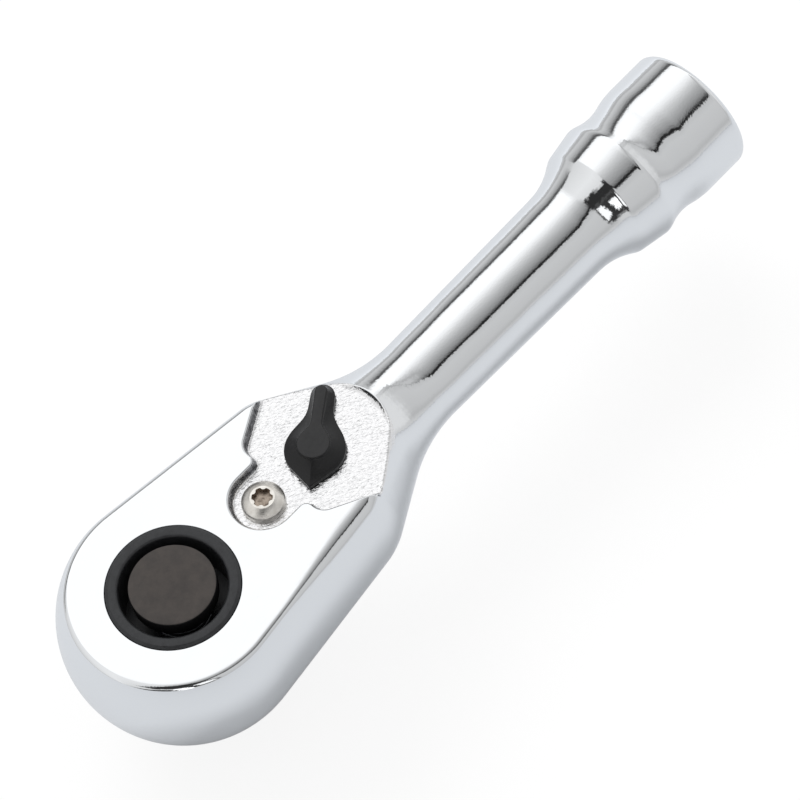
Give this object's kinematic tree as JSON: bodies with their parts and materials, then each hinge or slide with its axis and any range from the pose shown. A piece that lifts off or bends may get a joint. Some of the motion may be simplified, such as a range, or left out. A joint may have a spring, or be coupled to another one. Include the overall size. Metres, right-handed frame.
{
  "type": "socket ratchet",
  "caption": "Stubby reversible socket ratchet: teardrop head with a square drive, release button and thumb lever, on a short round handle that ends in a barrel.",
  "frame": {"origin": "on the drive axis, in the plane of the lower hub's face that a socket seats against", "axes": "+X along the handle, away from the head; +Z along the drive axis, out of the head's flat top, where the release button is; +Y completes a right-handed frame"},
  "size_m": [0.1184, 0.0336, 0.0302],
  "materials": {
    "chrome_steel": "forged steel, polished and chrome plated, with an as-blasted floor in the lever pocket",
    "black_oxide": "machined steel with a black oxide coat, satin",
    "button_steel": "steel with a mottled brown-black phosphate coat, matte",
    "lever_black": "steel with a matte black coat",
    "stainless": "stainless steel, fine satin",
    "spring_steel": "bright spring steel",
    "ball_steel": "hardened bearing steel, polished",
    "seal_rubber": "black nitrile rubber"
  },
  "bodies": {
    "housing": {"body": "chrome_steel", "thrust_washer": "spring_steel", "hub_seal": "seal_rubber", "gear_cover": "black_oxide", "cover_seal": "seal_rubber", "cover_ring": "spring_steel", "pawl_sleeve": "spring_steel", "pawl_screw": "stainless", "screw_seal": "seal_rubber"},
    "drive": {"drive_gear": "black_oxide", "release_spring": "spring_steel"},
    "release": {"release_button": "button_steel", "release_rod": "spring_steel"},
    "ball": {"lock_ball": "ball_steel"},
    "pawl": {"pawl": "black_oxide"},
    "lever": {"reversing_lever": "lever_black", "lever_seal": "seal_rubber", "lever_clip": "spring_steel", "lever_spring": "spring_steel"},
    "plunger": {"lever_plunger": "stainless"}
  },
  "joints": [
    {"name": "gear_spin", "type": "hinge", "parent": "housing", "child": "drive", "pos_m": [0, 0, 0], "axis": [0, 0, 1], "continuous": true},
    {"name": "button_press", "type": "slide", "parent": "drive", "child": "release", "axis": [0, 0, -1], "range_m": [0, 0.002], "stiffness_N_per_m": 1500, "springref_m": -0.0013, "deforming": ["release_spring"]},
    {"name": "ball_slide", "type": "slide", "parent": "drive", "child": "ball", "axis": [1, 0, 0], "range_m": [0, 0.0007]},
    {"name": "lever_turn", "type": "hinge", "parent": "housing", "child": "lever", "pos_m": [0.0268, 0, 0], "axis": [0, 0, 1], "range_deg": [-72, 0]},
    {"name": "pawl_rock", "type": "hinge", "parent": "housing", "child": "pawl", "pos_m": [0.0169, 0, 0], "axis": [0, 0, 1], "range_deg": [0, 8]},
    {"name": "plunger_slide", "type": "slide", "parent": "lever", "child": "plunger", "axis": [0.809, 0.5878, 0], "range_m": [0, 0.0006], "stiffness_N_per_m": 1200, "springref_m": -0.0012, "deforming": ["lever_spring"]}
  ],
  "couplings": [
    {"joint": "ball_slide", "follows": "button_press", "ratio": 0.35},
    {"joint": "pawl_rock", "follows": "lever_turn", "ratio": -0.11111}
  ]
}
